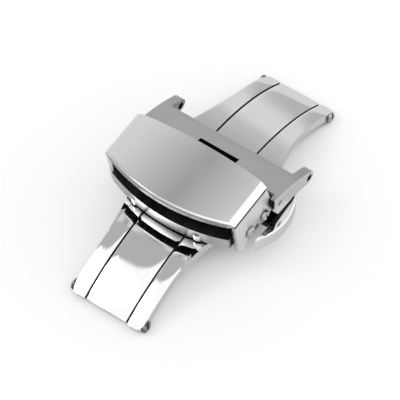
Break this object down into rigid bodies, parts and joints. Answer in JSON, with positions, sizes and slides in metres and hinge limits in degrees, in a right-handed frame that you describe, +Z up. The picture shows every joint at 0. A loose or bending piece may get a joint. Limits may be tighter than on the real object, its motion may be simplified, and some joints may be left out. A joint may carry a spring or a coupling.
{
  "type": "butterfly watch clasp",
  "caption": "Push-button butterfly clasp for a leather watch strap: curved frame, swinging arms, flip cover and lugs.",
  "frame": {"origin": "middle of the clasp's footprint, on the surface that the two ends of its curved frame rest on", "axes": "+X across the clasp towards the right button, +Y along the clasp towards the lugs, +Z up, away from the wrist"},
  "size_m": [0.0232, 0.0416, 0.0126],
  "materials": {
    "polished_steel": "mirror polished stainless steel",
    "satin_steel": "fine satin stainless steel",
    "pin_steel": "turned and polished stainless steel",
    "spring_steel": "drawn spring wire"
  },
  "bodies": {
    "frame": {"base_frame": "polished_steel", "bottom_plate": "satin_steel", "bottom_screws": "pin_steel", "front_hinge_pin": "pin_steel", "rear_hinge_pin": "pin_steel", "right_springs": "spring_steel", "left_springs": "spring_steel"},
    "front_arm": {"front_arm": "polished_steel"},
    "head": {"tray": "satin_steel", "head_pin": "pin_steel", "strap_peg": "pin_steel", "rest_pads": "pin_steel", "cover_pivots": "pin_steel", "snap_studs": "pin_steel"},
    "cover": {"cover": "polished_steel"},
    "rear_arm": {"rear_arm": "polished_steel"},
    "lugs": {"lug_plate": "satin_steel", "right_lug": "satin_steel", "left_lug": "satin_steel", "lug_pin": "pin_steel"},
    "right_button": {"right_button": "polished_steel", "right_slider": "satin_steel", "right_oval_pin": "pin_steel"},
    "left_button": {"left_button": "polished_steel", "left_slider": "satin_steel", "left_oval_pin": "pin_steel"}
  },
  "joints": [
    {"name": "front_arm_swing", "type": "hinge", "parent": "frame", "child": "front_arm", "pos_m": [0, -0.01981, 0.00097], "axis": [1, 0, 0], "range_deg": [0, 160]},
    {"name": "head_tilt", "type": "hinge", "parent": "front_arm", "child": "head", "pos_m": [0, -0.0053, 0.00511], "axis": [1, 0, 0], "range_deg": [-1, 0]},
    {"name": "cover_flip", "type": "hinge", "parent": "head", "child": "cover", "pos_m": [0, -0.00164, 0.00681], "axis": [-1, 0, 0], "range_deg": [0, 15]},
    {"name": "rear_arm_swing", "type": "hinge", "parent": "frame", "child": "rear_arm", "pos_m": [0, 0.01981, 0.00097], "axis": [-1, 0, 0], "range_deg": [0, 160]},
    {"name": "lug_tilt", "type": "hinge", "parent": "rear_arm", "child": "lugs", "pos_m": [0, 0.00064, 0.00743], "axis": [1, 0, 0], "range_deg": [0, 10]},
    {"name": "right_button_push", "type": "slide", "parent": "frame", "child": "right_button", "axis": [-1, 0, 0], "range_m": [0, 0.0006], "stiffness_N_per_m": 300, "springref_m": -0.001, "deforming": ["right_springs"]},
    {"name": "left_button_push", "type": "slide", "parent": "frame", "child": "left_button", "axis": [1, 0, 0], "range_m": [0, 0.0006], "stiffness_N_per_m": 300, "springref_m": -0.001, "deforming": ["left_springs"]}
  ]
}
